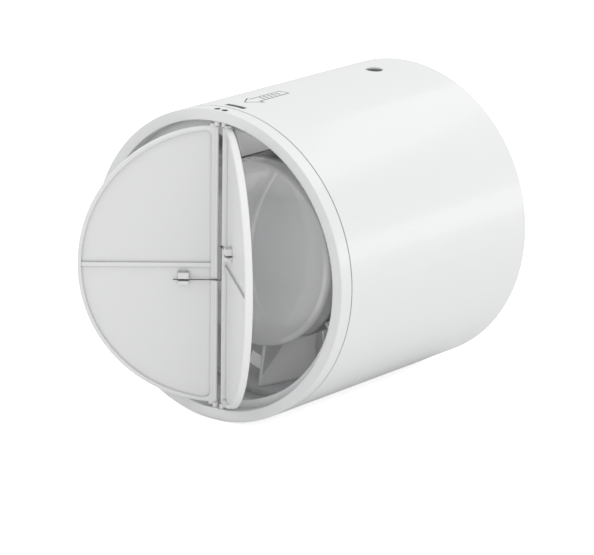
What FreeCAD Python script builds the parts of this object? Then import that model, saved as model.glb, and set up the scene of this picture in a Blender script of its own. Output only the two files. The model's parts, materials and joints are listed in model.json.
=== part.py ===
import FreeCAD, Part
import math
import os
from FreeCAD import Vector

# In-duct bathroom extractor fan with two butterfly back-draught flaps.
# Frame: origin on the tube axis in the plane of the front ring's face.
# +Y runs down the tube from the flap (outlet) end, the front, to the intake end,
# +Z is up, +X is to the right when the flap end is looked at.
# Lengths are in millimetres. Names ending in _RI and _RO are inside and outside radii,
# _Y0 and _Y1 are the front and back ends, and PHI is in degrees clockwise from +Z
# when the flap end is looked at.

ORIGIN = Vector(0, 0, 0)
ALONG = Vector(0, 1, 0)
UP = Vector(0, 0, 1)
ROOT_HALF = math.sqrt(0.5)

# outer casing
CASE_R = 75.0            # slides into a wall sleeve
CASE_LEN = 147.0         # overall length of the tube with its front ring
CASE_RI = CASE_R - 2.4
CASE_CHAMFER = 0.8
JOINT_W = 0.30           # shadow groove between ring and casing
JOINT_D = 0.30
SLIP = 0.05              # radial slip between nested sleeves

# front ring that carries the flaps
RING_LEN = 7.6           # visible band ahead of the joint line
RING_RI = 69.5
RING_EDGE_R = 0.45       # outer front rounding
RING_LIP_R = 0.4         # inner front rounding
SEAT_RI = 65.6
SEAT_Y0 = 6.4
SEAT_Y1 = SEAT_Y0 + 2.4
SPIGOT_END = 17.0
SPIGOT_CHAMFER = 0.6

# snap windows in the casing, top and bottom
SNAP_X0, SNAP_X1 = -4.0, 7.4
SNAP_Y0, SNAP_Y1 = 11.0, 14.2
SNAP_GAP = 0.3           # clearance around the tongue in its window

# cable entry
CABLE_X, CABLE_Y, CABLE_R = 2.2, 118.4, 4.3

# direction arrow engraved on top
ARROW_DEPTH = 0.3
ARROW_LINE = 0.75
ARROW_OUTLINE = [        # x, y; the tip comes first and points to the flap end
    (0.1, 20.6), (-4.9, 28.6), (-2.6, 28.6), (-2.9, 50.6),
    (3.7, 50.6), (4.0, 28.6), (6.8, 28.6)]
HATCH_X0, HATCH_X1 = -1.2, 2.2
HATCH_Y0, HATCH_PITCH, HATCH_W, HATCH_COUNT = 33.0, 3.0, 1.0, 5

# flaps
HINGE_X = 1.2            # the pair of pivots sits a little off the tube axis
PIVOT_X = 2.15           # each pivot to the middle of the pair
PIVOT_Y = 2.5
FLAP_R = 67.2
FLAP_T = 3.6
FLAP_FRONT = 0.35        # front face stands this far ahead of the pivot line
FLAP_EDGE_R = 0.6
FLAP_RIM = 1.8           # raised border along the arc
FLAP_BAND = 2.6          # raised border along the hinge
FLAP_RECESS = 1.6
POCKET_CORNER = 3.0
RELIEF_D = 0.4           # shallow relief on the back face
RELIEF_INSET = 1.5       # relief edge inside the front pocket's edge
RIB_W = 2.0
RIB_H = 1.1
BEAD_R = 0.85
BEAD_END = 66.6
TRUNNION_R = 1.40
TRUNNION_HOLE_R = 1.45
TRUNNION_END = 72.6
EAR_TOP, EAR_H = 69.15, 4.5
FLAP_REST = {-1: 39.5, 1: 41.7}   # opening angles of the rest pose, left and right

# spring
WIRE_R = 0.30
COIL_R = 0.42
COIL_X, COIL_Y = HINGE_X + 0.35, PIVOT_Y + 1.10
SPRING_Z0, SPRING_Z1 = -6.9, 9.6
SPRING_TURNS = 10
LEG_AHEAD = 0.75         # leg stands this far ahead of the pivot line
LEG_LEN = 20.3
CLIP_FROM, CLIP_TO = 12.8, 18.0   # clip reach, measured from the pivot
CLIP_H = 3.4
CLIP_SLOT = 0.42         # half width of the wire slot

# duct sleeve, hub, bulkhead and guide vanes
SLEEVE_RI, SLEEVE_RO = 69.9, 70.9
SLEEVE_Y0, SLEEVE_Y1 = 38.0, 108.0
HUB_R = 45.1
HUB_RI = HUB_R - 2.2
HUB_Y0, HUB_Y1 = 38.2, 76.0
BULK_Y0, BULK_Y1 = 50.0, 52.5
BOSS_R, BOSS_Y0 = 20.0, BULK_Y0 - 2.0
VANES = 7
VANE_Y0, VANE_Y1 = 41.0, 74.0
VANE_PHI0 = 184.7        # front edge of the lowest vane
VANE_TWIST = -6.3
VANE_LEAN = 1.5          # sideways shift of each root, so the vanes stand a little off radial
VANE_T = 1.8
VANE_END_T = VANE_T * 0.55
VANE_STATIONS = [        # y, thickness
    (VANE_Y0, VANE_END_T), (VANE_Y0 + 0.9, VANE_T), (49.0, VANE_T),
    (57.0, VANE_T), (VANE_Y1 - 0.9, VANE_T), (VANE_Y1, VANE_END_T)]
LUG_PHI = (198.2, 318.2, 78.2)
LUG_SECTIONS = [         # y, then the x, z corners
    (57.6, [(3.6, 70.3), (-4.3, 70.3), (-2.0, 62.8), (3.6, 62.8)]),
    (62.6, [(3.6, 70.3), (-4.3, 70.3), (-3.9, 69.2), (3.6, 69.2)])]

# dome over the front of the motor hub
DOME_NOSE_Y = 16.0
DOME_RIM_Y = 30.0
DOME_T = 2.0
DOME_EDGE = 2.6          # rounding between the face and the skirt
DOME_SKIRT_Y = 38.0
DOME_SPIGOT_T = 1.4
DOME_SPIGOT_Y1 = 43.0

# screws
HEAD_R = 2.7
THREAD_R = 1.25
CLEARANCE_R = 1.6
CROSS_HALF, CROSS_HALF_W = 1.5, 0.3
THREE_PHI = (0.0, 120.0, 240.0)
FLANGE_PITCH_R = 16.8    # motor flange screws
CUP_PITCH_R = 15.0       # impeller screws

# circuit board
BOARD_R = 37.0
BOARD_Y0, BOARD_Y1 = 44.0, 45.6
BOARD_PHI = (60.0, 180.0, 300.0)
BOARD_PITCH_R = 31.0
CAPACITORS = [           # x, z, radius, height
    (14.0, 12.0, 5.0, 13.0),
    (-3.0, 20.0, 4.0, 11.0)]
CHIPS = [                # x0, x1, y0, z0, z1
    (-20, -8, 42.2, -6, 3), (-22, -12, 38.0, -22, -12),
    (4, 12, 42.6, -20, -13), (16, 26, 40.5, -8, 2)]

# terminal block and the two lead wires, which run beside the upper left vane
TERM_Y0, TERM_Y1 = 117.0, 130.0
TERM_MID_Y = (TERM_Y0 + TERM_Y1) / 2
TERM_X = (-5.2, -0.8)
LEAD_R = 0.65
LEAD_HOLE_R = LEAD_R + 0.15
LEAD_Y = 54.0
LEAD_INNER_R = 38.5
LEAD_OUTER_R = (SLEEVE_RO + CASE_RI) / 2
LEAD_OFFSETS = (-3.4, -5.2)       # sideways from the vane's radial line
LEAD_PHI = (VANE_PHI0 + 3 * 360.0 / VANES
            + VANE_TWIST * (LEAD_Y - VANE_Y0) / (VANE_Y1 - VANE_Y0))

# motor
SHAFT_R = 4.0
SHAFT_Y1 = 91.5
BEARING_RO = 11.0
BEARING_W = 7.0
BEARING_Y0 = (53.0, 76.0)
BALLS = 7
BALL_PITCH_R = 7.5
WASHER_Y1 = 61.0
TUBE_RO = 13.0
TUBE_Y1 = 83.4
FLANGE_R = 20.5
STATOR_R = 28.6
STATOR_Y0, STATOR_Y1 = 60.0, 80.0
TEETH = 6
FRAME_T = 1.0            # end frame thickness
TOOTH_HALF_W, FRAME_HALF_W = 3.6, 3.9
MAGNET_RI, MAGNET_RO = 29.2, 32.7
CUP_R = 34.3
CUP_Y1 = 88.2
CUP_PLATE_Y0 = CUP_Y1 - 1.5
BUSH_R = 8.0

# impeller
IMP_Y0, IMP_Y1 = 77.5, 102.0
IMP_NOSE_Y = 115.0
IMP_NOSE_R = 14.0        # rounding of the hub at the intake side
IMP_WALL = 2.0
IMP_WEB_Y1 = 90.7        # back of the web on the rotor cup
BLADES = 6
BLADE_PHI0 = 11.0
BLADE_TIP = 69.3
BLADE_MID_Y = (IMP_Y0 + IMP_Y1) / 2 + 0.4
BLADE_STATIONS = [       # radius, chord, angle from the tube axis, thickness, camber
    (40.0, 28.0, 40.0, 2.6, 2.4),
    (52.0, 35.0, 50.0, 2.2, 2.2),
    (62.0, 41.0, 56.0, 1.9, 2.0),
    (72.0, 46.0, 60.0, 1.7, 1.8)]

# intake ring
INTAKE_Y0 = 133.0
INTAKE_RI = 68.4


# ---------------------------------------------------------------------------
# helpers
# ---------------------------------------------------------------------------
def cylinder(radius, y0, y1):
    return Part.makeCylinder(radius, y1 - y0, Vector(0, y0, 0), ALONG)


def tube(inner, outer, y0, y1):
    return cylinder(outer, y0, y1).cut(cylinder(inner, y0 - 1, y1 + 1))


def box(x0, x1, y0, y1, z0, z1):
    return Part.makeBox(x1 - x0, y1 - y0, z1 - z0, Vector(x0, y0, z0))


def rod(start, end, radius):
    run = end.sub(start)
    return Part.makeCylinder(radius, run.Length, start, run)


def ball(centre, radius):
    return Part.makeSphere(radius, centre)


def polar(phi, radius, y, offset=0.0):
    """Point at angle phi, moved sideways (clockwise) by offset."""
    angle = math.radians(phi)
    return Vector(radius * math.sin(angle) + offset * math.cos(angle), y,
                  radius * math.cos(angle) - offset * math.sin(angle))


def peg(radius, length, phi, pitch_r, y0):
    """Cylinder parallel to the tube axis at a polar place."""
    return Part.makeCylinder(radius, length, polar(phi, pitch_r, y0), ALONG)


def turned(path):
    """Solid of revolution about the tube axis from a closed profile.

    A step (r, y) is reached by a line, a step (mid_r, mid_y, r, y) by an arc.
    The first step also closes the profile.
    """
    edges = []
    start = Vector(*path[0][-2:], 0)
    for step in path[1:] + path[:1]:
        end = Vector(*step[-2:], 0)
        if len(step) == 2:
            edges.append(Part.makeLine(start, end))
        else:
            edges.append(Part.Arc(start, Vector(*step[:2], 0), end).toShape())
        start = end
    return Part.Face(Part.Wire(edges)).revolve(ORIGIN, ALONG, 360)


def closed_wire(points):
    return Part.makePolygon(points + points[:1])


def cross_section(y, corners):
    return closed_wire([Vector(x, y, z) for x, z in corners])


def wedge(apex_z, half_w, top_z, y0, y1):
    corners = [(0, apex_z), (-half_w, top_z), (half_w, top_z)]
    return Part.makeLoft([cross_section(y, corners) for y in (y0, y1)], True)


def turn(shape, degrees):
    """Copy turned about +Y, clockwise seen from the front."""
    copy = shape.copy()
    copy.rotate(ORIGIN, ALONG, degrees)
    return copy


def spaced(count):
    return [i * 360.0 / count for i in range(count)]


def fuse_all(shape, others):
    for other in others:
        shape = shape.fuse(other)
    return shape


def cut_all(shape, tools):
    for tool in tools:
        shape = shape.cut(tool)
    return shape


def single(shape):
    shape = shape.removeSplitter()
    return shape.Solids[0] if len(shape.Solids) == 1 else shape


def fillet_upright(shape, radius):
    return shape.makeFillet(radius, [e for e in shape.Edges
                                     if abs(e.tangentAt(e.FirstParameter).z) > 0.9])


def screw(place, head, shank, cross, head_round=0):
    """Cross-head screw along Y; head and shank are (y0, length), cross is (y0, y1)."""
    phi, pitch_r = place
    body = peg(HEAD_R, head[1], phi, pitch_r, head[0])
    if head_round:
        body = body.makeFillet(head_round, [e for e in body.Edges
                                            if e.Closed and e.CenterOfMass.y < head[0] + 0.4])
    body = body.fuse(peg(THREAD_R, shank[1], phi, pitch_r, shank[0]))
    centre = polar(phi, pitch_r, 0)
    slots = [box(centre.x - half_x, centre.x + half_x, cross[0], cross[1],
                 centre.z - half_z, centre.z + half_z)
             for half_x, half_z in ((CROSS_HALF, CROSS_HALF_W), (CROSS_HALF_W, CROSS_HALF))]
    return single(body.cut(slots[0].fuse(slots[1])))


# ---------------------------------------------------------------------------
# casing and front ring
# ---------------------------------------------------------------------------
def arrow_groove():
    """Outline arrow with plain hatch bars inside its shaft."""
    outer = Part.Face(closed_wire([Vector(x, y, 60) for x, y in ARROW_OUTLINE]))
    inner = outer.makeOffset2D(-ARROW_LINE).Faces[0]
    groove = outer.cut(inner).extrude(Vector(0, 0, 20))
    for i in range(HATCH_COUNT):
        y0 = HATCH_Y0 + i * HATCH_PITCH
        groove = groove.fuse(box(HATCH_X0, HATCH_X1, y0, y0 + HATCH_W, 60, 80))
    return groove.cut(cylinder(CASE_R - ARROW_DEPTH, 15, 60))


def casing_tube():
    case = turned([
        (CASE_RI, RING_LEN), (CASE_R - JOINT_D, RING_LEN),
        (CASE_R - JOINT_D, RING_LEN + JOINT_W), (CASE_R, RING_LEN + JOINT_W),
        (CASE_R, CASE_LEN - CASE_CHAMFER), (CASE_R - CASE_CHAMFER, CASE_LEN),
        (CASE_RI, CASE_LEN)])
    window = fillet_upright(box(SNAP_X0, SNAP_X1, SNAP_Y0, SNAP_Y1, 65, 80), 0.5)
    cable_hole = Part.makeCylinder(CABLE_R, 20, Vector(CABLE_X, CABLE_Y, 60), UP)
    return single(cut_all(case, [window, turn(window, 180), cable_hole, arrow_groove()]))


def front_ring():
    """Ring with flap seat, spigot, snap tongues and pivot holes."""
    edge, lip = RING_EDGE_R, RING_LIP_R
    edge_mid = edge * (1 - ROOT_HALF)
    lip_mid = lip * (1 - ROOT_HALF)
    spigot_ro = CASE_RI - SLIP
    spigot_ri = SLEEVE_RI + 0.3
    ring = turned([
        (RING_RI + lip_mid, lip_mid, RING_RI + lip, 0),
        (CASE_R - edge, 0),
        (CASE_R - edge_mid, edge_mid, CASE_R, edge),
        (CASE_R, RING_LEN),
        (spigot_ro, RING_LEN),
        (spigot_ro, SPIGOT_END - SPIGOT_CHAMFER),
        (spigot_ro - SPIGOT_CHAMFER, SPIGOT_END),
        (spigot_ri, SPIGOT_END),
        (spigot_ri, SEAT_Y1 + 1.2),
        (SEAT_RI + 0.5, SEAT_Y1),
        (SEAT_RI, SEAT_Y1 - 0.5),
        (SEAT_RI, SEAT_Y0 + 0.3),
        (SEAT_RI + 0.3, SEAT_Y0),
        (RING_RI, SEAT_Y0),
        (RING_RI, lip)])
    # snap tongues standing into the casing windows
    tongue = box(SNAP_X0 + SNAP_GAP, SNAP_X1 - SNAP_GAP,
                 SNAP_Y0 + SNAP_GAP, SNAP_Y1 - SNAP_GAP, 60, 80)
    tongue = tongue.common(tube(SLEEVE_RI + 1.0, CASE_RI + 0.3, 5, 20))
    ring = fuse_all(ring, [tongue, turn(tongue, 180)])
    for side in (-1, 1):
        foot = Vector(HINGE_X + side * PIVOT_X, PIVOT_Y, -80)
        ring = ring.cut(Part.makeCylinder(TRUNNION_HOLE_R, 160, foot, UP))
    return single(ring)


# ---------------------------------------------------------------------------
# butterfly flaps, drawn closed on the left (-X) side, then mirrored and opened
# ---------------------------------------------------------------------------
def flap(side, leg_z):
    front = PIVOT_Y - FLAP_FRONT
    back = front + FLAP_T
    panel = front + FLAP_RECESS
    band_x = -PIVOT_X - FLAP_BAND
    pocket_r = FLAP_R - FLAP_RIM

    disc = cylinder(FLAP_R, front, back)
    disc = disc.makeFillet(FLAP_EDGE_R, [e for e in disc.Edges if e.Closed])
    body = disc.common(box(-80, -PIVOT_X, 0, 20, -80, 80))

    # hinge bead, thickened on its back
    body = body.fuse(Part.makeCylinder(
        BEAD_R, 2 * BEAD_END, Vector(-PIVOT_X, PIVOT_Y, -BEAD_END), UP))
    backing = box(-PIVOT_X - 1.0, -PIVOT_X + BEAD_R * 0.75,
                  PIVOT_Y, PIVOT_Y + 1.4, -BEAD_END, BEAD_END)
    body = body.fuse(backing.common(
        Part.makeCylinder(1.5, 140, Vector(-PIVOT_X, PIVOT_Y, -70), UP)))

    # ear, the block beside it and the trunnion, at the bottom and the top
    for end in (-1, 1):
        z0, z1 = sorted((end * (EAR_TOP - EAR_H), end * EAR_TOP))
        body = body.fuse(box(-PIVOT_X - 1.2, -PIVOT_X + 0.95, front + 0.1, front + 2.3, z0, z1))
        z0, z1 = sorted((end * 62.0, end * 68.0))
        body = body.fuse(box(-PIVOT_X - 3.3, -PIVOT_X - 1.2, front + 0.1, front + 3.0, z0, z1))
        body = body.fuse(Part.makeCylinder(
            TRUNNION_R, TRUNNION_END - EAR_TOP + 2.0,
            Vector(-PIVOT_X, PIVOT_Y, end * (EAR_TOP - 2.0)), Vector(0, 0, end)))

    # recessed panel inside the raised rim, split by the middle rib
    pocket = cylinder(pocket_r, front - 1, panel).common(
        box(-80, band_x, front - 1, panel, -80, 80))
    pocket = pocket.makeFillet(POCKET_CORNER, [e for e in pocket.Edges
                                               if abs(e.Length - (FLAP_RECESS + 1)) < 1e-6])
    body = body.cut(pocket)
    body = body.fuse(box(-FLAP_R + 1.4, band_x + 0.5, panel - RIB_H, back - 0.5,
                         -RIB_W / 2, RIB_W / 2))
    relief = cylinder(pocket_r - RELIEF_INSET, back - RELIEF_D, back + 1)
    body = body.cut(relief.common(
        box(-80, band_x - RELIEF_INSET, back - RELIEF_D, back + 1, -80, 80)))

    # saddle clip: two rounded blocks with the wire slot between them
    clip_front = panel - CLIP_H
    for z0, z1 in ((leg_z + CLIP_SLOT, leg_z + 3.6), (leg_z - 2.4, leg_z - CLIP_SLOT)):
        block = box(-PIVOT_X - CLIP_TO, -PIVOT_X - CLIP_FROM, clip_front, panel + 0.3, z0, z1)
        block = block.makeFillet(0.5, [e for e in block.Edges
                                       if abs(e.CenterOfMass.y - clip_front) < 1e-6])
        body = body.fuse(block)

    # notch in the bead where the spring leg crosses it
    body = body.cut(box(-PIVOT_X - 1.2, -PIVOT_X + 2.0, front - 3.0, PIVOT_Y - 0.30,
                        leg_z - 0.5, leg_z + 0.5))
    body = body.removeSplitter()
    if side > 0:
        body = body.mirror(ORIGIN, Vector(1, 0, 0))
    body.rotate(Vector(side * PIVOT_X, PIVOT_Y, 0), UP, -side * FLAP_REST[side])
    body.translate(Vector(HINGE_X, 0, 0))
    return single(body)


# ---------------------------------------------------------------------------
# torsion spring: wire coil standing in the gap, one leg over each flap
# ---------------------------------------------------------------------------
def leg_point(side, reach, z):
    """Point on the leg line, at a distance from the pivot along the open flap."""
    angle = math.radians(FLAP_REST[side])
    outward = Vector(side * math.cos(angle), -math.sin(angle), 0)
    ahead = Vector(-side * math.sin(angle), -math.cos(angle), 0)
    pivot = Vector(HINGE_X + side * PIVOT_X, PIVOT_Y, z)
    return pivot.add(outward * reach).add(ahead * LEG_AHEAD)


def torsion_spring():
    height = SPRING_Z1 - SPRING_Z0
    pitch = height / SPRING_TURNS
    helix = Part.makeHelix(pitch, height, COIL_R)
    wire_end = Part.Wire(Part.makeCircle(
        WIRE_R, Vector(COIL_R, 0, 0), Vector(0, 1, pitch / (2 * math.pi * COIL_R))))
    spring = Part.Wire(helix).makePipeShell([wire_end], True, True)
    spring.rotate(ORIGIN, UP, -90)      # both ends of the coil point forward
    spring.translate(Vector(COIL_X, COIL_Y, SPRING_Z0))
    for side, z in ((-1, SPRING_Z0), (1, SPRING_Z1)):
        coil_end = Vector(COIL_X, COIL_Y - COIL_R, z)
        bend = Vector(HINGE_X + side * 0.35, PIVOT_Y - 0.45, z)
        leg_start = leg_point(side, 0.2, z)
        leg_end = leg_point(side, LEG_LEN, z)
        spring = fuse_all(spring, [
            rod(coil_end, bend, WIRE_R), ball(coil_end, WIRE_R), ball(bend, WIRE_R),
            rod(bend, leg_start, WIRE_R), ball(leg_start, WIRE_R),
            rod(leg_start, leg_end, WIRE_R)])
    return single(spring)


# ---------------------------------------------------------------------------
# guide vane carrier and the leads that pass through it
# ---------------------------------------------------------------------------
def lead_bends(offset):
    """Inner bend behind the bulkhead and outer bend between sleeve and casing."""
    outer_r = math.sqrt(LEAD_OUTER_R ** 2 - offset ** 2)
    return (polar(LEAD_PHI, LEAD_INNER_R, LEAD_Y, offset),
            polar(LEAD_PHI, outer_r, LEAD_Y, offset))


def vane_section(y, thick):
    phi = VANE_PHI0 + VANE_TWIST * (y - VANE_Y0) / (VANE_Y1 - VANE_Y0)
    root_r, tip_r = HUB_R - 1.2, SLEEVE_RI + 0.5
    return closed_wire([
        polar(phi, root_r, y, -VANE_LEAN - thick / 2), polar(phi, tip_r, y, -thick / 2),
        polar(phi, tip_r, y, thick / 2), polar(phi, root_r, y, -VANE_LEAN + thick / 2)])


def guide_vane_carrier():
    """Duct sleeve with two lands, guide vanes, hub shell and motor bulkhead."""
    vane = Part.makeLoft([vane_section(y, thick) for y, thick in VANE_STATIONS], True, True)
    lug = Part.makeLoft([cross_section(y, corners) for y, corners in LUG_SECTIONS], True, True)
    pieces = [
        tube(SLEEVE_RI + 0.5, CASE_RI, SLEEVE_Y0, SLEEVE_Y0 + 3.0),
        tube(SLEEVE_RI + 0.5, CASE_RI, SLEEVE_Y1 - 4.0, SLEEVE_Y1),
        tube(HUB_RI, HUB_R, HUB_Y0, HUB_Y1),
        cylinder(HUB_RI + 0.4, BULK_Y0, BULK_Y1),
        cylinder(BOSS_R, BOSS_Y0, BULK_Y0 + 0.1)]
    pieces += [turn(vane, phi) for phi in spaced(VANES)]
    # three lugs on the inside of the sleeve
    pieces += [turn(lug, phi) for phi in LUG_PHI]
    # posts for the circuit board
    pieces += [peg(3.2, BULK_Y0 - BOARD_Y1 + 0.2, phi, BOARD_PITCH_R, BOARD_Y1)
               for phi in BOARD_PHI]
    carrier = fuse_all(tube(SLEEVE_RI, SLEEVE_RO, SLEEVE_Y0, SLEEVE_Y1), pieces)
    carrier = carrier.removeSplitter()

    holes = [cylinder(TUBE_RO, BULK_Y0 - 5, BULK_Y1 + 5)]
    holes += [peg(THREAD_R, 12.0, phi, BOARD_PITCH_R, 40.0) for phi in BOARD_PHI]
    holes += [peg(CLEARANCE_R, 12, phi, FLANGE_PITCH_R, 44) for phi in THREE_PHI]
    for offset in LEAD_OFFSETS:
        inner, outer = lead_bends(offset)
        holes += [
            rod(polar(LEAD_PHI, 40.5, LEAD_Y, offset), outer, LEAD_HOLE_R),
            rod(outer, Vector(outer.x, 112, outer.z), LEAD_HOLE_R),
            rod(Vector(inner.x, 48, inner.z), Vector(inner.x, LEAD_Y + 1, inner.z),
                LEAD_HOLE_R)]
    return single(cut_all(carrier, holes))


def motor_leads():
    leads = []
    for offset in LEAD_OFFSETS:
        inner, outer = lead_bends(offset)
        leads.append(single(fuse_all(rod(inner, outer, LEAD_R), [
            ball(outer, LEAD_R),
            rod(outer, Vector(outer.x, TERM_Y0, outer.z), LEAD_R),
            # inner end goes forward through the bulkhead to the board
            ball(inner, LEAD_R),
            rod(inner, Vector(inner.x, BOARD_Y1, inner.z), LEAD_R)])))
    return Part.makeCompound(leads)


# ---------------------------------------------------------------------------
# dome that closes the motor hub
# ---------------------------------------------------------------------------
def motor_dome():
    bulge = DOME_RIM_Y - DOME_NOSE_Y
    face_r = (HUB_R ** 2 + bulge ** 2) / (2 * bulge)
    centre_y = DOME_NOSE_Y + face_r
    edge_centre_r = HUB_R - DOME_EDGE
    # the rounding touches both the face and the skirt without a crease
    edge_y = centre_y - math.sqrt((face_r - DOME_EDGE) ** 2 - edge_centre_r ** 2)
    slope = math.atan2(edge_centre_r, centre_y - edge_y)   # 0 at the nose, 90 degrees on the skirt
    face_mid = face_r * math.sin(slope) / 2
    spigot_ro = HUB_RI - SLIP
    spigot_ri = spigot_ro - DOME_SPIGOT_T

    def on_face(sphere_r, radius):
        return radius, centre_y - math.sqrt(sphere_r ** 2 - radius ** 2)

    def on_edge(angle):
        return (edge_centre_r + DOME_EDGE * math.sin(angle),
                edge_y - DOME_EDGE * math.cos(angle))

    inside_r = face_r - DOME_T
    return single(turned([
        (0, DOME_NOSE_Y),
        on_face(face_r, face_mid) + on_edge(slope),
        on_edge((slope + math.pi / 2) / 2) + (HUB_R, edge_y),
        (HUB_R, DOME_SKIRT_Y),
        (spigot_ro, DOME_SKIRT_Y),
        (spigot_ro, DOME_SPIGOT_Y1),
        (spigot_ri, DOME_SPIGOT_Y1),
        on_face(inside_r, spigot_ri),
        on_face(inside_r, 20) + (0, DOME_NOSE_Y + DOME_T)]))


# ---------------------------------------------------------------------------
# circuit board and its parts, which stand on its front face
# ---------------------------------------------------------------------------
def circuit_board():
    board = cylinder(BOARD_R, BOARD_Y0, BOARD_Y1).cut(cylinder(8.0, 43, 47))
    holes = [peg(CLEARANCE_R, 5, phi, BOARD_PITCH_R, 42) for phi in BOARD_PHI]
    holes += [Part.makeCylinder(1.2, 6, polar(LEAD_PHI, LEAD_INNER_R, 42, offset), ALONG)
              for offset in LEAD_OFFSETS]
    return single(cut_all(board, holes))


def board_capacitors():
    cans = []
    for x, z, radius, height in CAPACITORS:
        can = Part.makeCylinder(radius, height, Vector(x, BOARD_Y0 - height, z), ALONG)
        cans.append(can.makeFillet(0.8, [e for e in can.Edges
                                         if e.Closed and e.CenterOfMass.y < 35]))
    return Part.makeCompound(cans)


def board_components():
    return Part.makeCompound([box(x0, x1, y0, BOARD_Y0, z0, z1) for x0, x1, y0, z0, z1 in CHIPS])


def board_screws():
    return Part.makeCompound([
        screw((phi, BOARD_PITCH_R), head=(BOARD_Y0 - 1.9, 1.9), shank=(BOARD_Y0 - 0.1, 7.0),
              cross=(42.0, 42.9), head_round=0.6)
        for phi in BOARD_PHI])


# ---------------------------------------------------------------------------
# motor: bearing tube, stator, bearings
# ---------------------------------------------------------------------------
def bearing_tube():
    front, flange_back = 50.5, 54.7
    bore = 9.4
    body = turned([
        (BEARING_RO, front), (TUBE_RO, front), (TUBE_RO, BULK_Y1), (FLANGE_R, BULK_Y1),
        (FLANGE_R, flange_back), (TUBE_RO, flange_back), (TUBE_RO, TUBE_Y1),
        (BEARING_RO, TUBE_Y1), (BEARING_RO, BEARING_Y0[1]), (bore, BEARING_Y0[1]),
        (bore, WASHER_Y1), (BEARING_RO, WASHER_Y1)])
    return single(cut_all(body, [peg(THREAD_R, 12, phi, FLANGE_PITCH_R, 48)
                                 for phi in THREE_PHI]))


def motor_screws():
    return Part.makeCompound([
        screw((phi, FLANGE_PITCH_R), head=(BOSS_Y0 - 2.0, 2.0), shank=(BOSS_Y0 - 0.1, 6.6),
              cross=(45.9, 46.9))
        for phi in THREE_PHI])


def stator_core():
    core = tube(TUBE_RO, 17.5, STATOR_Y0, STATOR_Y1)
    for phi in spaced(TEETH):
        tooth = box(-TOOTH_HALF_W, TOOTH_HALF_W, STATOR_Y0, STATOR_Y1, 16.5, 27.0)
        shoe = tube(26.2, STATOR_R, STATOR_Y0, STATOR_Y1).common(
            wedge(0, 17.0, 32, STATOR_Y0, STATOR_Y1))
        shoe = shoe.common(box(-12.2, 12.2, STATOR_Y0, STATOR_Y1, 15, 40))
        core = core.fuse(turn(tooth.fuse(shoe), phi))
    return single(core)


def winding_insulators():
    """End frames that keep the copper off the laminations."""
    frames = []
    for y0, y1 in ((STATOR_Y0 - FRAME_T, STATOR_Y0), (STATOR_Y1, STATOR_Y1 + FRAME_T)):
        arm = box(-FRAME_HALF_W, FRAME_HALF_W, y0, y1, 16.5, 27.6)
        frames.append(single(fuse_all(tube(TUBE_RO + 0.2, 17.2, y0, y1),
                                      [turn(arm, phi) for phi in spaced(TEETH)])))
    return Part.makeCompound(frames)


def stator_windings():
    coils = []
    for phi in spaced(TEETH):
        coil = fillet_upright(
            box(-6.4, 6.4, STATOR_Y0 - 3.4, STATOR_Y1 + 3.4, 18.6, 25.4), 1.6)
        coil = coil.cut(box(-FRAME_HALF_W, FRAME_HALF_W,
                            STATOR_Y0 - FRAME_T, STATOR_Y1 + FRAME_T, 10, 40))
        # neighbouring coils meet on the bisector, so shave them there
        sector = wedge(-0.5, 24.0, 41.1, STATOR_Y0 - 5, STATOR_Y1 + 5)
        coils.append(turn(single(coil.common(sector)), phi))
    return Part.makeCompound(coils)


def bearing_races(inner, outer):
    races = []
    for y0 in BEARING_Y0:
        track = Part.makeTorus(BALL_PITCH_R, 2.03, Vector(0, y0 + BEARING_W / 2, 0), ALONG)
        races.append(single(tube(inner, outer, y0, y0 + BEARING_W).cut(track)))
    return Part.makeCompound(races)


def bearing_balls():
    return Part.makeCompound([
        ball(polar(phi, BALL_PITCH_R, y0 + BEARING_W / 2), 1.98)
        for y0 in BEARING_Y0 for phi in spaced(BALLS)])


def spring_washer():
    """Thin washer behind the front bearing's outer race."""
    return single(tube(9.6, 10.9, BEARING_Y0[0] + BEARING_W, WASHER_Y1))


# ---------------------------------------------------------------------------
# rotor: shaft, bush, cup, magnets, impeller
# ---------------------------------------------------------------------------
def motor_shaft():
    shaft = cylinder(SHAFT_R, 49.0, SHAFT_Y1)
    shaft = shaft.makeChamfer(0.4, [e for e in shaft.Edges if e.Closed])
    return single(shaft.cut(tube(3.5, 6, 51.8, 52.9)))


def shaft_circlip():
    return single(tube(3.55, 6.0, 51.9, 52.8).cut(box(-1.0, 1.0, 51, 54, -8, 0)))


def rotor_bush():
    return single(tube(SHAFT_R, BUSH_R, 83.2, SHAFT_Y1).fuse(tube(SHAFT_R, 11.5, 85.0, 86.6)))


def rotor_cup():
    cup = tube(MAGNET_RO, CUP_R, 57.0, CUP_Y1).fuse(tube(BUSH_R, CUP_R, CUP_PLATE_Y0, CUP_Y1))
    holes = [peg(3.5, 6, phi + 30, 23, 84) for phi in spaced(6)]
    holes += [peg(THREAD_R, 6, phi, CUP_PITCH_R, 84) for phi in THREE_PHI]
    return single(cut_all(cup, holes))


def magnet_ring():
    return single(tube(MAGNET_RI, MAGNET_RO, 58.0, 82.0))


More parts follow.
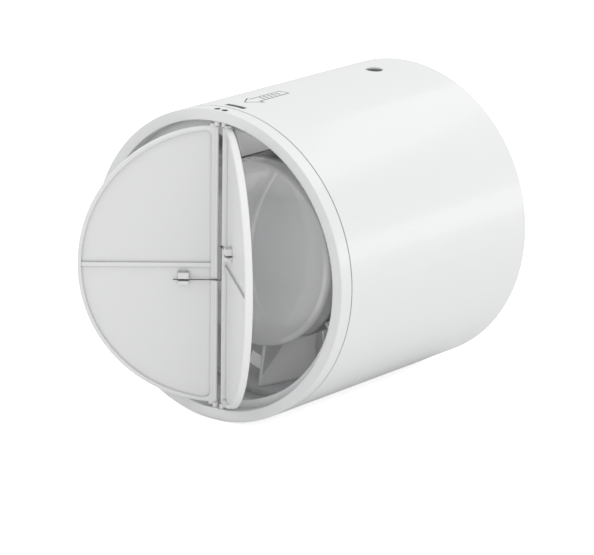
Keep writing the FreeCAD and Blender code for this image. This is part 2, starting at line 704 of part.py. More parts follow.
def impeller_hub():
    """Drum with a rounded nose on the intake side and a socket over the rotor cup."""
    nose_r = HUB_R - IMP_NOSE_R          # centre of the nose rounding
    nose_y = IMP_NOSE_Y - IMP_NOSE_R
    inside_r = HUB_R - IMP_WALL
    inside_y = IMP_NOSE_Y - IMP_WALL
    socket_r = CUP_R + 1.8
    outer_mid = IMP_NOSE_R * ROOT_HALF
    inner_mid = (IMP_NOSE_R - IMP_WALL) * ROOT_HALF
    return turned([
        (inside_r, IMP_Y0),
        (HUB_R, IMP_Y0),
        (HUB_R, nose_y),
        (nose_r + outer_mid, nose_y + outer_mid, nose_r, IMP_NOSE_Y),
        (22.0, IMP_NOSE_Y),
        (19.0, IMP_WEB_Y1),
        (BUSH_R + 0.1, IMP_WEB_Y1),
        (BUSH_R + 0.1, CUP_Y1),
        (CUP_R, CUP_Y1),
        (CUP_R, 80.0),
        (socket_r, 80.0),
        (socket_r, 90.4),
        (21.2, 90.4),
        (23.8, inside_y),
        (nose_r, inside_y),
        (nose_r + inner_mid, nose_y + inner_mid, inside_r, nose_y)])


def blade_section(radius, chord, beta, thick, camber):
    """Closed cambered strip on the plane z = radius."""
    steps = 8
    angle = math.radians(beta)
    upper, lower = [], []
    for i in range(steps + 1):
        part = i / steps
        along = (part - 0.5) * chord
        arch = 4 * part * (1 - part)
        rise = camber * arch
        half = thick * (0.35 + 0.65 * arch * (1.0 - 0.25 * part)) / 2
        for points, height in ((upper, rise + half), (lower, rise - half)):
            points.append(Vector(along * math.sin(angle) - height * math.cos(angle),
                                 BLADE_MID_Y + along * math.cos(angle) + height * math.sin(angle),
                                 radius))
    upper_curve = Part.BSplineCurve()
    upper_curve.interpolate(upper)
    lower_curve = Part.BSplineCurve()
    lower_curve.interpolate(list(reversed(lower)))
    return Part.Wire([upper_curve.toShape(), Part.makeLine(upper[-1], lower[-1]),
                      lower_curve.toShape(), Part.makeLine(lower[0], upper[0])])


def impeller():
    blade = Part.makeLoft([blade_section(*station) for station in BLADE_STATIONS], True)
    blade = blade.common(tube(HUB_R - 0.8, BLADE_TIP, IMP_Y0 - 3, IMP_NOSE_Y))
    body = fuse_all(impeller_hub(), [turn(blade, phi + BLADE_PHI0) for phi in spaced(BLADES)])
    return single(cut_all(body, [peg(CLEARANCE_R, 6, phi, CUP_PITCH_R, 87)
                                 for phi in THREE_PHI]))


def impeller_screws():
    return Part.makeCompound([
        screw((phi, CUP_PITCH_R), head=(IMP_WEB_Y1, 2.0), shank=(86.8, 4.0), cross=(91.8, 92.8))
        for phi in THREE_PHI])


# ---------------------------------------------------------------------------
# intake ring and terminal block
# ---------------------------------------------------------------------------
def intake_ring():
    outer = CASE_RI - SLIP
    front_ri = SLEEVE_RI + 0.4
    return single(turned([
        (front_ri, INTAKE_Y0),
        (outer, INTAKE_Y0),
        (outer, CASE_LEN - 0.4),
        (outer - 0.4, CASE_LEN),
        (71.6, CASE_LEN),
        (69.35, CASE_LEN - 3.2, INTAKE_RI, CASE_LEN - 7.5),
        (INTAKE_RI, INTAKE_Y0 + 3.0)]))


def terminal_block():
    """Drawn at the top of the casing, then turned to the leads."""
    block = box(-9.0, 3.0, TERM_Y0, TERM_Y1, 62.0, 75.0).common(cylinder(CASE_RI, 110, 140))
    for x in TERM_X:
        # screw well from below and wire hole from the back
        block = block.cut(Part.makeCylinder(1.7, 3.5, Vector(x, TERM_MID_Y, 61.5), UP))
        block = block.cut(Part.makeCylinder(
            1.3, 5.0, Vector(x, TERM_Y1 + 0.5, 68.0), Vector(0, -1, 0)))
    return single(turn(block, LEAD_PHI))


def terminal_screws():
    screws = []
    for x in TERM_X:
        head = Part.makeCylinder(1.6, 1.6, Vector(x, TERM_MID_Y, 63.3), UP)
        head = head.cut(box(x - 2, x + 2, TERM_MID_Y - 0.25, TERM_MID_Y + 0.25, 63.0, 63.9))
        screws.append(turn(single(head), LEAD_PHI))
    return Part.makeCompound(screws)


# ---------------------------------------------------------------------------
# one STEP file per piece
# ---------------------------------------------------------------------------
parts = {
    "casing_tube": casing_tube(),
    "front_ring": front_ring(),
    "flap_left": flap(-1, SPRING_Z0),
    "flap_right": flap(1, SPRING_Z1),
    "torsion_spring": torsion_spring(),
    "guide_vane_carrier": guide_vane_carrier(),
    "motor_leads": motor_leads(),
    "motor_dome": motor_dome(),
    "circuit_board": circuit_board(),
    "board_capacitors": board_capacitors(),
    "board_components": board_components(),
    "board_screws": board_screws(),
    "bearing_tube": bearing_tube(),
    "motor_screws": motor_screws(),
    "stator_core": stator_core(),
    "winding_insulators": winding_insulators(),
    "stator_windings": stator_windings(),
    "bearing_outer_races": bearing_races(8.9, BEARING_RO),
    "bearing_inner_races": bearing_races(SHAFT_R, 6.1),
    "bearing_balls": bearing_balls(),
    "spring_washer": spring_washer(),
    "motor_shaft": motor_shaft(),
    "shaft_circlip": shaft_circlip(),
    "rotor_bush": rotor_bush(),
    "rotor_cup": rotor_cup(),
    "magnet_ring": magnet_ring(),
    "impeller": impeller(),
    "impeller_screws": impeller_screws(),
    "intake_ring": intake_ring(),
    "terminal_block": terminal_block(),
    "terminal_screws": terminal_screws(),
}

os.makedirs("parts", exist_ok=True)
for name, shape in parts.items():
    shape.exportStep("parts/%s.step" % name)
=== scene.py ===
# A round in-line duct fan with two sprung flaps across its mouth.
# The tube axis runs along Y with the mouth towards -Y; Z is up and +X is the right-hand side.
# The flaps turn on upright pins beside the middle of the mouth.
import bpy, bmesh, json, math
from mathutils import Vector, Matrix


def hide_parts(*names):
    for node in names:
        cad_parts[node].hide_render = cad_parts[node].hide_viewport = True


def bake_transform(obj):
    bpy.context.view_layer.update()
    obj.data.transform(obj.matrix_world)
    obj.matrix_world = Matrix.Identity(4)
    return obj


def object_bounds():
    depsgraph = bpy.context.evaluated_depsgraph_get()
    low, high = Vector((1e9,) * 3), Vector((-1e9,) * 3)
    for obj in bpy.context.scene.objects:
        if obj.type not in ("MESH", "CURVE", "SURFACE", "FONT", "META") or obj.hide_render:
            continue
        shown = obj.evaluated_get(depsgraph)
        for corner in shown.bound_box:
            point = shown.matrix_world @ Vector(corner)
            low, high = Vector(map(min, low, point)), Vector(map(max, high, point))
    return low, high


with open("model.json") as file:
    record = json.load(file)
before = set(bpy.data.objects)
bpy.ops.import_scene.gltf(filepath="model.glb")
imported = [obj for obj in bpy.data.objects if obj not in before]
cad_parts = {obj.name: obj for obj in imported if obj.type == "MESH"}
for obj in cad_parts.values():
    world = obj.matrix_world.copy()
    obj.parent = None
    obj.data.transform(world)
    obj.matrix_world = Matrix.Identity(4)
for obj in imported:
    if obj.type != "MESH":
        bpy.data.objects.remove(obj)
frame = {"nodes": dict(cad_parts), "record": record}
cad_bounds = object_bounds()
nodes = frame["nodes"]
scene = bpy.context.scene

MM = 0.001
# Flap hinges, in mm: one pin on either side of HINGE_X
HINGE_X = 1.2
PIVOT_X = 2.15        # from HINGE_X to each pin
PIVOT_Y = 2.5

# Radii down the tube, in metres
HUB_RADIUS = 0.0458
DUCT_RADIUS = 0.0698

WORLD_LIGHT = 0.865   # light from the room on the object
FLOOR_GLOW = 0.75     # lifts the paper to white for the camera only

WHITE = (1, 1, 1)
# colours for painted light and painted shade in the layers below
PAINTED_LIGHT = (0.98, 0.98, 0.98)
PAINTED_SHADE = (0.14, 0.145, 0.15)
HOLE_SHADE = (0.10, 0.105, 0.11)
PAINTED_DEEP_SHADE = (0.10, 0.10, 0.105)


# ---------------------------------------------------------------------------
# shader building
# ---------------------------------------------------------------------------
class Shader:
    """Adds nodes to one tree. An input takes a number, a colour or another node's output."""

    def __init__(self, tree):
        self.tree = tree

    def node(self, kind, **settings):
        node = self.tree.nodes.new("ShaderNode" + kind)
        for name, value in settings.items():
            setattr(node, name, value)
        return node

    def put(self, socket, value):
        if isinstance(value, bpy.types.NodeSocket):
            self.tree.links.new(value, socket)
        elif socket.type == "RGBA":
            socket.default_value = (*value, 1.0)
        else:
            socket.default_value = value

    def surface(self, inputs):
        for name, value in inputs.items():
            self.put(self.bsdf.inputs[name], value)

    def emit(self, strength):
        self.surface({"Emission Color": WHITE, "Emission Strength": strength})

    def math(self, operation, *values):
        node = self.node("Math", operation=operation)
        for socket, value in zip(node.inputs, values):
            self.put(socket, value)
        return node.outputs[0]

    def add(self, a, b):
        return self.math("ADD", a, b)

    def sub(self, a, b):
        return self.math("SUBTRACT", a, b)

    def mul(self, a, b):
        return self.math("MULTIPLY", a, b)

    def above(self, value, limit):
        return self.math("GREATER_THAN", value, limit)

    def below(self, value, limit):
        return self.math("LESS_THAN", value, limit)

    def between(self, value, low, high):
        return self.mul(self.above(value, low), self.below(value, high))

    def hypot(self, a, b):
        return self.math("SQRT", self.add(self.mul(a, a), self.mul(b, b)))

    def ramp(self, value, over, to=(0.0, 1.0)):
        """Carries the range `over` to the range `to`, clamped."""
        node = self.node("MapRange")
        for name, number in (("From Min", over[0]), ("From Max", over[1]),
                             ("To Min", to[0]), ("To Max", to[1]), ("Value", value)):
            self.put(node.inputs[name], number)
        return node.outputs["Result"]

    def mix(self, amount, under, over):
        node = self.node("Mix", data_type="RGBA")
        for index, value in ((0, amount), (6, under), (7, over)):
            self.put(node.inputs[index], value)
        return node.outputs[2]

    def noise(self, vector, scale, detail=3.0):
        node = self.node("TexNoise")
        for name, value in (("Scale", scale), ("Detail", detail),
                            ("Roughness", 0.55), ("Vector", vector)):
            self.put(node.inputs[name], value)
        return node.outputs["Fac"]

    def place(self, stretch=None):
        """Object coordinates in metres, stretched if asked."""
        vector = self.node("TexCoord").outputs["Object"]
        if stretch:
            mapping = self.node("Mapping")
            self.put(mapping.inputs["Scale"], stretch)
            self.put(mapping.inputs["Vector"], vector)
            vector = mapping.outputs["Vector"]
        return vector

    def split(self, vector):
        node = self.node("SeparateXYZ")
        self.put(node.inputs[0], vector)
        return node.outputs

    def xyz(self):
        return self.split(self.place())

    def facing(self):
        """X, Y and Z of the surface normal."""
        return self.split(self.node("NewGeometry").outputs["Normal"])

    def radius(self):
        """Distance from the tube axis and place along it."""
        x, y, z = self.xyz()
        return self.hypot(x, z), y

    def flap_radius(self):
        """Distance from the middle of the closed flap disc, whatever the opening angle."""
        x, y, z = self.xyz()
        from_hinge = self.math("ABSOLUTE", self.sub(x, HINGE_X * MM))
        from_pin = self.sub(from_hinge, PIVOT_X * MM)
        along = self.hypot(from_pin, self.sub(y, PIVOT_Y * MM))
        return self.hypot(self.add(along, PIVOT_X * MM), z)

    def rounded(self, radius_mm):
        """The normal with sharp edges rounded over."""
        bevel = self.node("Bevel", samples=4)
        self.put(bevel.inputs["Radius"], radius_mm * MM)
        return bevel.outputs["Normal"]

    def edge(self, normal):
        """Mask that is 1 where the rounded normal leaves the true one."""
        geometry = self.node("NewGeometry")
        dot = self.node("VectorMath", operation="DOT_PRODUCT")
        self.put(dot.inputs[0], normal)
        self.put(dot.inputs[1], geometry.outputs["Normal"])
        return self.ramp(dot.outputs["Value"], over=(0.995, 0.80))

    def bump(self, height, normal, strength, distance):
        node = self.node("Bump")
        for name, value in (("Strength", strength), ("Distance", distance),
                            ("Height", height), ("Normal", normal)):
            self.put(node.inputs[name], value)
        return node.outputs["Normal"]

    def by_ray(self, others, camera):
        """One value for camera rays and another for all others."""
        is_camera = self.node("LightPath").outputs["Is Camera Ray"]
        return self.ramp(is_camera, over=(0.0, 1.0), to=(others, camera))


MATERIALS = {}


def new_material(name):
    material = bpy.data.materials.new(name)
    material.use_nodes = True
    material.node_tree.nodes.clear()
    net = Shader(material.node_tree)
    output = net.node("OutputMaterial")
    net.bsdf = net.node("BsdfPrincipled")
    net.put(output.inputs["Surface"], net.bsdf.outputs["BSDF"])
    net.material = MATERIALS[name] = material
    return net


def scaled(colour, factor):
    return tuple(c * factor for c in colour)


# ---------------------------------------------------------------------------
# shading layers for the plastics; lengths in metres unless named otherwise
# ---------------------------------------------------------------------------
def painted_corner_shade(net, colour, base, depth, reach_mm):
    """Painted shade in the corners, darker where ambient occlusion is strong."""
    occlusion = net.node("AmbientOcclusion", samples=6)
    net.put(occlusion.inputs["Distance"], reach_mm * MM)
    amount = net.ramp(occlusion.outputs["AO"], over=(0.45, 0.92), to=(depth, 0.0))
    return net.mix(amount, colour, scaled(base, 0.12))


def painted_band_shade(net, colour, bands):
    """Painted shade in bands given by radius and place along the tube."""
    radius, y = net.radius()
    for inner, outer, y_from, y_to, amount in bands:
        inside = net.mul(net.between(radius, inner, outer), net.between(y, y_from, y_to))
        colour = net.mix(net.mul(inside, amount), colour, PAINTED_SHADE)
    return colour


# painted shade in the arrow's groove, the slot, along the joint line, in the pivot holes and on
# the casing's inner wall; radius from, radius to, y from, y to, amount of shade
CASING_SHADE_BANDS = (
    (0.07440, 0.07486, 0.0195, 0.0520, 0.9),
    (0.07235, 0.07480, 0.0109, 0.0145, 0.72),
    (0.07400, 0.07510, 0.00728, 0.00812, 0.46),
    (0.07020, 0.07470, 0.0009, 0.0041, 0.9),
    (0.07150, 0.07330, 0.0600, 0.1290, 0.95),
    (0.07150, 0.07330, 0.0300, 0.0600, 0.28),
)
# painted shade on the front edge of the guide vane sleeve
INNER_SHADE_BANDS = ((DUCT_RADIUS, 0.0735, 0.0370, 0.0386, 0.28),)


def hole_shade(net, colour):
    """Shade round the pivot holes and inside the cable hole."""
    x, y, z = net.xyz()
    wall = net.above(net.math("ABSOLUTE", z), 0.0700)   # top and bottom of the casing
    for pivot_x in (HINGE_X - PIVOT_X, HINGE_X + PIVOT_X):
        distance = net.hypot(net.sub(x, pivot_x * MM), net.sub(y, PIVOT_Y * MM))
        amount = net.mul(wall, net.ramp(distance, over=(0.0019, 0.0015), to=(0.0, 0.8)))
        colour = net.mix(amount, colour, PAINTED_SHADE)
    cable_x, cable_y, cable_radius = 0.0022, 0.1184, 0.00442
    distance = net.hypot(net.sub(x, cable_x), net.sub(y, cable_y))
    amount = net.mul(net.below(distance, cable_radius),
                     net.ramp(z, over=(0.07445, 0.07405), to=(0.0, 0.8)))
    return net.mix(amount, colour, HOLE_SHADE)


def casing_layers(net, colour, base):
    colour = painted_corner_shade(net, colour, base, depth=0.30, reach_mm=3.5)
    colour = painted_band_shade(net, colour, CASING_SHADE_BANDS)
    return hole_shade(net, colour)


def flap_layers(net, colour, base):
    colour = painted_corner_shade(net, colour, base, depth=0.27, reach_mm=1.2)
    # painted shade on the small upward-facing ledges inside a flap's border
    upward = net.ramp(net.facing()[2], over=(0.45, 0.75), to=(0.0, 0.45))
    border_radius = 0.0647
    ledge_shade = net.mul(upward, net.below(net.flap_radius(), border_radius))
    return net.mix(ledge_shade, colour, scaled(base, 0.12))


def painted_tube_shade(net, colour):
    """Painted shade that grows down the tube and on the hub."""
    radius, y = net.radius()
    colour = net.mix(net.ramp(y, over=(0.066, 0.088), to=(0.0, 0.45)), colour, PAINTED_DEEP_SHADE)
    hub = net.mul(net.between(radius, 0.040, HUB_RADIUS),
                  net.ramp(y, over=(0.0382, 0.042), to=(0.0, 0.75)))
    return net.mix(hub, colour, PAINTED_DEEP_SHADE)


# Strengths of the sharp and the broad part of the hub's shade on the lowest blade
SHARP_SHADE, BROAD_SHADE = 0.26, 0.16


def hub_shade(net):
    """Mask where the hub shades the upper front corner of the lowest blade."""
    radius, y = net.radius()
    x, _, z = net.xyz()
    slant = net.add(radius, net.mul(y, 1.207))   # grows away from that corner
    shade = net.add(net.ramp(slant, over=(0.1134, 0.1144), to=(SHARP_SHADE, 0.0)),
                    net.ramp(slant, over=(0.1080, 0.1260), to=(BROAD_SHADE, 0.0)))
    # only the blade hanging near the middle, below the hub
    blade_x, half_width, blade_top, blade_front = -0.0015, 0.0065, -0.04, 0.0415
    sideways = net.math("ABSOLUTE", net.add(x, -blade_x))
    shade = net.mul(shade, net.below(sideways, half_width))
    shade = net.mul(shade, net.mul(net.between(radius, HUB_RADIUS, DUCT_RADIUS),
                                   net.below(z, blade_top)))
    return net.mul(shade, net.above(y, blade_front))


def painted_vane_light(net, shade):
    """Painted light: a faint glow on the blades' right-hand faces and the lug's front, weaker
    under the hub's shade.
    """
    radius, y = net.radius()
    normal_x, normal_y, _ = net.facing()
    z = net.xyz()[2]
    blade = net.mul(net.ramp(normal_x, over=(0.6, 0.9)),
                    net.between(radius, HUB_RADIUS, DUCT_RADIUS))
    blade = net.mul(blade, net.ramp(z, over=(0.0, 0.03), to=(0.075, 0.17)))
    full_shade = SHARP_SHADE + BROAD_SHADE
    blade = net.mul(blade, net.ramp(shade, over=(0.0, full_shade), to=(1.0, 0.45)))
    lug = net.mul(net.ramp(normal_y, over=(-0.80, -0.95), to=(0.0, 0.15)),
                  net.mul(net.between(radius, 0.0600, DUCT_RADIUS),
                          net.between(y, 0.0550, 0.0640)))
    net.emit(net.add(blade, lug))


def inner_layers(net, colour, base):
    colour = painted_corner_shade(net, colour, base, depth=0.4, reach_mm=1.5)
    colour = painted_band_shade(net, colour, INNER_SHADE_BANDS)
    colour = painted_tube_shade(net, colour)
    shade = hub_shade(net)
    painted_vane_light(net, shade)
    return net.mix(shade, colour, PAINTED_DEEP_SHADE)


def dome_layers(net, colour, _base):
    radius, _ = net.radius()
    x, _, z = net.xyz()
    # painted highlight: the rounding round the face is paler low down on the right
    rim = net.ramp(radius, over=(0.0420, 0.0428))
    low_right = net.mul(net.ramp(z, over=(0.012, -0.004)), net.ramp(x, over=(0.014, 0.020)))
    colour = net.mix(net.mul(rim, low_right), colour, PAINTED_LIGHT)
    # painted light: so is the top
    colour = net.mix(net.ramp(z, over=(0.031, 0.041)), colour, PAINTED_LIGHT)
    # the left half lies in the shade behind the hinge line
    colour = net.mix(net.ramp(x, over=(-0.0055, -0.0110), to=(0.0, 0.42)), colour, PAINTED_DEEP_SHADE)
    # painted light: the underside is paler
    return net.mix(net.ramp(z, over=(-0.010, -0.035), to=(0.0, 0.45)), colour, PAINTED_LIGHT)


# ---------------------------------------------------------------------------
# materials: all procedural
# ---------------------------------------------------------------------------
def plastic(name, base, rough, grain, bevel_mm, vary=0.018, edge_gain=0.05, mottle=1.0,
            coat=0.0, coat_rough=0.08, coat_ior=1.5, painted_glow=0.0, layers=None):
    """Moulded plastic: clouded colour, paler edges and a fine grain.

    vary is the spread of the colour, mottle the spread of the gloss and lit a faint glow of
    painted light.
    """
    net = new_material(name)
    place = net.place()
    large = net.noise(place, scale=22.0, detail=4.0)
    medium = net.noise(place, scale=140.0)
    fine = net.noise(place, scale=2600.0, detail=2.0)
    cloud = net.add(net.mul(large, 0.6), net.mul(medium, 0.4))
    colour = net.mix(net.ramp(cloud, over=(0.35, 0.65)),
                     scaled(base, 1 - vary), scaled(base, 1 + vary * 0.6))
    normal = net.rounded(bevel_mm)
    edge = net.edge(normal)
    wear = net.mul(edge, net.ramp(medium, over=(0.35, 0.7), to=(0.3, 1.0)))
    colour = net.mix(wear, colour, scaled(base, 1 + edge_gain))
    if layers:
        colour = layers(net, colour, base)
    if painted_glow:
        net.emit(painted_glow)
    gloss = net.ramp(net.add(net.mul(medium, 0.6), net.mul(fine, 0.4)), over=(0.3, 0.7),
                     to=(rough - 0.05 * mottle, rough + 0.06 * mottle))
    net.surface({
        "Base Color": colour,
        "Roughness": net.add(gloss, net.mul(edge, 0.05)),
        "Normal": net.bump(net.add(fine, net.mul(medium, 1.5)), normal,
                           strength=grain, distance=0.0002),
        "Coat Weight": coat,
        "Coat Roughness": coat_rough,
        "Coat IOR": coat_ior,
    })
    net.material.diffuse_color = (*base, 1.0)


def metal(name, base, rough, stretch=(1, 1, 1), grain=0.06, bevel_mm=0.12, scale=900.0,
          bands=None):
    """Streaked metal; bands is (direction, pitch in mm, darkness of the lines)."""
    net = new_material(name)
    stretched = net.place(stretch)
    place = net.place()
    streak = net.noise(stretched, scale=scale)
    blot = net.noise(place, scale=120.0, detail=4.0)
    cloud = net.add(net.mul(streak, 0.5), net.mul(blot, 0.5))
    vary = 0.08
    colour = net.mix(net.ramp(cloud, over=(0.35, 0.65)),
                     scaled(base, 1 - vary), scaled(base, 1 + vary))
    normal = net.rounded(bevel_mm)
    edge_colour = tuple(min(1.0, c * 1.25 + 0.05) for c in base)
    colour = net.mix(net.mul(net.edge(normal), 0.6), colour, edge_colour)
    if bands:
        # wound wire or stacked sheet: rounded ridges with a dark line between them
        direction, pitch_mm, darkness = bands
        across = net.radius()[0] if direction == "radial" else net.xyz()[1]
        wave = net.math("SINE", net.mul(across, math.pi / (pitch_mm * MM)))
        ridge = net.math("ABSOLUTE", wave)
        colour = net.mix(net.ramp(ridge, over=(0.0, 0.45), to=(darkness, 0.0)),
                         colour, scaled(base, 0.15))
        normal = net.bump(ridge, normal, strength=0.6, distance=pitch_mm * MM * 0.4)
    net.surface({
        "Base Color": colour,
        "Metallic": 1.0,
        "Roughness": net.ramp(streak, over=(0.3, 0.7), to=(rough - 0.07, rough + 0.1)),
        "Normal": net.bump(streak, normal, strength=grain, distance=0.0001),
    })
    net.material.diffuse_color = (*base, 1.0)


def board(name):
    """Green solder mask over copper runs, with tinned pads."""
    net = new_material(name)
    place = net.place()

    def cells(scale, randomness, **settings):
        node = net.node("TexVoronoi", **settings)
        for key, value in (("Scale", scale), ("Randomness", randomness), ("Vector", place)):
            net.put(node.inputs[key], value)
        return node.outputs["Distance"]

    runs = cells(scale=210.0, randomness=0.75, feature="DISTANCE_TO_EDGE",
                 distance="CHEBYCHEV")
    track = net.ramp(runs, over=(0.05, 0.09), to=(1.0, 0.0))
    pad = net.ramp(cells(scale=240.0, randomness=0.35), over=(0.14, 0.17), to=(1.0, 0.0))
    cloud = net.noise(place, scale=90.0)
    mask_dark, mask_light = (0.016, 0.085, 0.04), (0.024, 0.12, 0.06)
    track_green, tin = (0.05, 0.22, 0.11), (0.62, 0.62, 0.60)
    colour = net.mix(cloud, mask_dark, mask_light)
    colour = net.mix(net.mul(track, 0.7), colour, track_green)
    net.surface({
        "Base Color": net.mix(pad, colour, tin),
        "Metallic": pad,
        "Roughness": net.ramp(cloud, over=(0.3, 0.7), to=(0.28, 0.40)),
        "Normal": net.bump(net.add(track, net.mul(pad, 2.0)), net.rounded(0.1),
                           strength=0.5, distance=0.00008),
    })
    net.material.diffuse_color = (0.03, 0.12, 0.06, 1.0)


plastic("casing_white", (0.86, 0.865, 0.87), rough=0.36, grain=0.02, bevel_mm=0.30,
        vary=0.006, edge_gain=0.12, coat=0.35, coat_rough=0.12, layers=casing_layers)
plastic("flap_white", (0.86, 0.863, 0.867), rough=0.30, grain=0.004, bevel_mm=0.22,
        vary=0.005, edge_gain=0.12, mottle=0.2, layers=flap_layers)
plastic("inner_grey", (0.80, 0.803, 0.81), rough=0.34, grain=0.03, bevel_mm=0.2,
        layers=inner_layers)
plastic("dome_grey", (0.71, 0.715, 0.72), rough=0.22, grain=0.003, bevel_mm=0.3,
        coat=1.0, coat_rough=0.03, coat_ior=1.85, layers=dome_layers)
# lit: painted light, a faint glow so the impeller down the duct is not black
plastic("impeller_grey", (0.52, 0.525, 0.535), rough=0.36, grain=0.03, bevel_mm=0.2, painted_glow=0.075)
plastic("lead_insulation", (0.45, 0.46, 0.47), rough=0.5, grain=0.05, bevel_mm=0.1)
board("board_green")
plastic("capacitor_sleeve", (0.03, 0.035, 0.05), rough=0.28, grain=0.02, bevel_mm=0.2, vary=0.1)
plastic("component_black", (0.025, 0.025, 0.028), rough=0.55, grain=0.08, bevel_mm=0.15,
        vary=0.15)
plastic("insulator_plastic", (0.72, 0.69, 0.60), rough=0.45, grain=0.04, bevel_mm=0.15)
plastic("terminal_plastic", (0.75, 0.75, 0.72), rough=0.42, grain=0.04, bevel_mm=0.2)
plastic("magnet_ferrite", (0.06, 0.06, 0.065), rough=0.6, grain=0.12, bevel_mm=0.15, vary=0.2)
metal("spring_steel", (0.17, 0.17, 0.17), rough=0.22, bevel_mm=0.05)
metal("zinc_steel", (0.68, 0.68, 0.64), rough=0.3, bevel_mm=0.1)
metal("bearing_aluminium", (0.76, 0.77, 0.78), rough=0.3, stretch=(1, 14, 1))
metal("lamination_steel", (0.32, 0.32, 0.34), rough=0.42, stretch=(0.4, 8, 0.4), scale=300.0,
      grain=0.3, bands=("along", 0.5, 0.7))
metal("copper_wire", (0.72, 0.34, 0.16), rough=0.28, bands=("radial", 0.62, 0.85))
metal("bearing_steel", (0.74, 0.74, 0.75), rough=0.12)
metal("bush_brass", (0.78, 0.60, 0.28), rough=0.28, stretch=(1, 12, 1))
metal("rotor_steel", (0.50, 0.50, 0.51), rough=0.34, stretch=(1, 10, 1))

slot_of = {part["node"]: part["material_slot"] for part in frame["record"]["subparts"]}
for name, piece in nodes.items():
    piece.data.materials.clear()
    piece.data.materials.append(MATERIALS[slot_of[name]])


def add_object(name, data):
    added = bpy.data.objects.new(name, data)
    scene.collection.objects.link(added)
    return added


def add_mesh(name, bm):
    mesh = bpy.data.meshes.new(name)
    bm.to_mesh(mesh)
    bm.free()
    return add_object(name, mesh)


# ---------------------------------------------------------------------------
# wire torsion spring, in two halves that meet within the coil; lengths in mm
# ---------------------------------------------------------------------------
LEFT, RIGHT = -1, 1
# how far each flap stands forward of the XZ plane
REST_ANGLE = {LEFT: math.radians(39.5), RIGHT: math.radians(41.7)}
COIL_BOTTOM, COIL_TOP = -6.9, 9.6
COIL_JOIN = 1.35                   # height where the halves meet
COIL_TURNS = 16
COIL_RADIUS = 0.42
COIL_X, COIL_Y = HINGE_X + 0.35, PIVOT_Y + 1.10
LEG_OFFSET = 0.75                  # leg's centre line off the flap's own plane
LEG_STATIONS = (20.3, 12.0, 5.0, 1.4, 0.2)   # distances from the pin along the flap
LEG_TO_COIL = 0.1                  # climb from the leg to the start of the coil
WIRE_RADIUS = 0.29
WIRE_SEGMENTS = 12
COIL_STEPS = 16                    # points per turn
LEG_STEPS = 8                      # points per span of the leg


def leg_point(side, along, z):
    """A point on the leg at a distance along its resting flap."""
    angle = REST_ANGLE[side]
    outward = Vector((side * math.cos(angle), -math.sin(angle), 0))
    off_flap = Vector((-side * math.sin(angle), -math.cos(angle), 0))
    pin = Vector((HINGE_X + side * PIVOT_X, PIVOT_Y, z))
    return pin + outward * along + off_flap * LEG_OFFSET


def sweep(name, points):
    """A round wire along a list of points, with a low cone on each end."""
    bm = bmesh.new()
    rings = []
    across = None
    for i, point in enumerate(points):
        before = points[max(0, i - 1)]
        after = points[min(len(points) - 1, i + 1)]
        tangent = (after - before).normalized()
        if across is None:
            across = tangent.orthogonal().normalized()
        else:
            across = (across - tangent * across.dot(tangent)).normalized()
        other = tangent.cross(across)
        ring = []
        for k in range(WIRE_SEGMENTS):
            turn = 2 * math.pi * k / WIRE_SEGMENTS
            spoke = across * math.cos(turn) + other * math.sin(turn)
            ring.append(bm.verts.new((point + spoke * WIRE_RADIUS) * MM))
        rings.append(ring)
    following = [(k, (k + 1) % WIRE_SEGMENTS) for k in range(WIRE_SEGMENTS)]
    for ring, further in zip(rings, rings[1:]):
        for k, n in following:
            bm.faces.new((ring[k], ring[n], further[n], further[k]))
    for end, inward in ((0, 1), (-1, -2)):
        ring = rings[end]
        outward = (points[end] - points[inward]).normalized()
        tip = bm.verts.new((points[end] + outward * WIRE_RADIUS * 0.5) * MM)
        for k, n in following:
            bm.faces.new((ring[n], ring[k], tip) if end == 0 else (ring[k], ring[n], tip))
    bmesh.ops.recalc_face_normals(bm, faces=bm.faces)
    wire = add_mesh(name, bm)
    for face in wire.data.polygons:
        face.use_smooth = True
    return wire


def smooth_path(points):
    """Catmull-Rom through the points."""
    path = []
    for i in range(len(points) - 1):
        p0 = points[max(0, i - 1)]
        p1, p2 = points[i], points[i + 1]
        p3 = points[min(len(points) - 1, i + 2)]
        for k in range(LEG_STEPS):
            t = k / LEG_STEPS
            path.append(0.5 * ((2 * p1) + (p2 - p0) * t
                               + (2 * p0 - 5 * p1 + 4 * p2 - p3) * t * t
                               + (3 * p1 - p0 - 3 * p2 + p3) * t ** 3))
    path.append(points[-1])
    return path


def coil(z_from, z_to):
    """Centre line of the coil between two heights."""
    height = COIL_TOP - COIL_BOTTOM
    count = int(abs(z_to - z_from) / height * COIL_TURNS * COIL_STEPS)
    path = []
    for i in range(count + 1):
        z = z_from + (z_to - z_from) * i / count
        turn = 2 * math.pi * COIL_TURNS * (z - COIL_BOTTOM) / height
        path.append(Vector((COIL_X + COIL_RADIUS * math.sin(turn),
                            COIL_Y - COIL_RADIUS * math.cos(turn), z)))
    return path


COIL_FRONT = COIL_Y - COIL_RADIUS
for side, leg_z, word in ((LEFT, COIL_BOTTOM, "left"), (RIGHT, COIL_TOP, "right")):
    climb = -side * LEG_TO_COIL
    leg = smooth_path([leg_point(side, along, leg_z) for along in LEG_STATIONS] + [
        Vector((HINGE_X + side * 0.35, PIVOT_Y - 0.45, leg_z)),
        Vector((COIL_X - 0.15 * side, COIL_FRONT - 0.35, leg_z + climb * 0.5)),
        Vector((COIL_X, COIL_FRONT, leg_z + climb)),
    ])
    wire = sweep("spring_wire_" + word, leg + coil(leg_z + climb, COIL_JOIN)[1:])
    wire.data.materials.append(MATERIALS["spring_steel"])
    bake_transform(wire)
    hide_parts("torsion_spring")

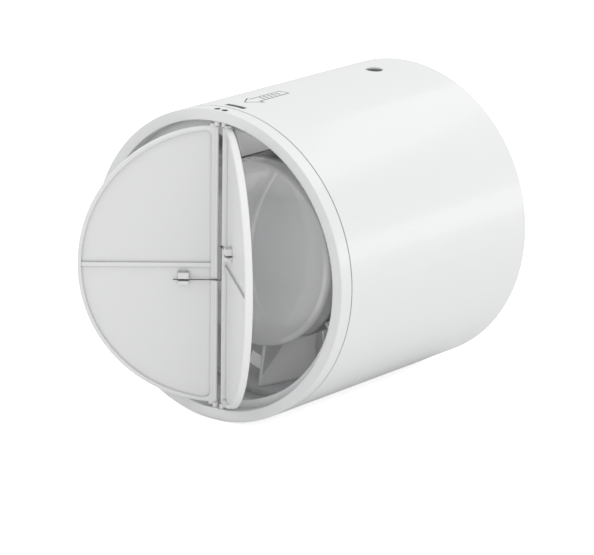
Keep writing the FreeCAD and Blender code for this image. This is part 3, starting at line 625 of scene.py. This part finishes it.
# ---------------------------------------------------------------------------
# floor and world, in metres
# ---------------------------------------------------------------------------
FLOOR_HALF = 6
FLOOR_GAP = 0.0002    # below the lowest point of the product
floor_z = cad_bounds[0][2] - FLOOR_GAP
bm = bmesh.new()
bm.faces.new([bm.verts.new((x * FLOOR_HALF, y * FLOOR_HALF, floor_z))
              for x, y in ((-1, -1), (1, -1), (1, 1), (-1, 1))])
floor = add_mesh("floor", bm)
paper = new_material("floor_paper")
cloud = paper.noise(paper.place(), scale=8.0)
paper.surface({
    "Roughness": 0.9,
    "Base Color": paper.mix(cloud, (0.90, 0.90, 0.90), (0.92, 0.92, 0.92)),
})
paper.emit(paper.by_ray(others=0.0, camera=FLOOR_GLOW))
floor.data.materials.append(paper.material)

world = bpy.data.worlds.new("studio")
scene.world = world
world.use_nodes = True
sky = Shader(world.node_tree)
background = world.node_tree.nodes["Background"]
sky.put(background.inputs["Color"], WHITE)
sky.put(background.inputs["Strength"], sky.by_ray(others=WORLD_LIGHT, camera=1.0))


# ---------------------------------------------------------------------------
# lights
# ---------------------------------------------------------------------------
def area(name, place, target, size, power):
    light = bpy.data.lights.new(name, "AREA")
    light.shape = "RECTANGLE"
    light.size, light.size_y = size
    light.energy = power
    lamp = add_object(name, light)
    lamp.location = place
    aim = Vector(target) - Vector(place)
    lamp.rotation_euler = aim.to_track_quat("-Z", "Y").to_euler()
    return lamp


def fill(name, piece, own_shadow_only=False, **light):
    """A light without reflections that reaches one piece only."""
    lamp = area(name, **light)
    lamp.visible_glossy = False
    reach = bpy.data.collections.new(name + "_reach")
    reach.objects.link(nodes[piece])
    lamp.light_linking.receiver_collection = reach
    if own_shadow_only:
        lamp.light_linking.blocker_collection = reach


MIDDLE = (0, 0.06, 0)
area("key_top", place=(0.35, 0.05, 1.0), target=MIDDLE, size=(0.9, 0.9), power=1.2)
area("strip_high", place=(0.20, 0.97, 0.76), target=MIDDLE, size=(0.8, 0.16), power=0.42)
area("strip_low", place=(0.76, 0.92, 0.06), target=MIDDLE, size=(0.8, 0.22), power=0.75)

# a soft reflector in front on the right, for the guide vanes down the duct
fill("inner_fill", "guide_vane_carrier", place=(0.70, -0.88, 0.0), target=(0, 0.05, 0),
     size=(0.70, 0.30), power=3.0)
# brightens the outer edge of the right flap
fill("edge_fill", "flap_right", place=(1.10, -0.35, 0.05), target=(0.04, -0.02, 0),
     size=(0.4, 0.8), power=2.0)
# from above onto the top of the hub, as if the wall over it let light through
fill("crown_fill", "motor_dome", own_shadow_only=True, place=(-0.05, -0.04, 0.60),
     target=(0, 0.02, 0.03), size=(0.25, 0.25), power=0.30)

# ---------------------------------------------------------------------------
# camera: in front, to the right and a little above
# ---------------------------------------------------------------------------
lens = bpy.data.cameras.new("camera")
camera = add_object("camera", lens)
camera.matrix_world = Matrix((
    (0.78498, 0.61938, 0.01274, 0),       # its right
    (-0.17715, 0.20470, 0.96266, 0),      # its up
    (0.59365, -0.75793, 0.27041, 0),      # its back
    (1.04945, -1.27727, 0.45935, 1),      # its place
)).transposed()
lens.sensor_fit = "HORIZONTAL"
lens.sensor_width = 36.0
lens.lens = 222.476
lens.clip_start = 0.01
lens.clip_end = 50.0
scene.camera = camera
view = scene.view_settings
view.view_transform = "Standard"
view.look = "None"
view.exposure = 0.0
view.gamma = 1.0
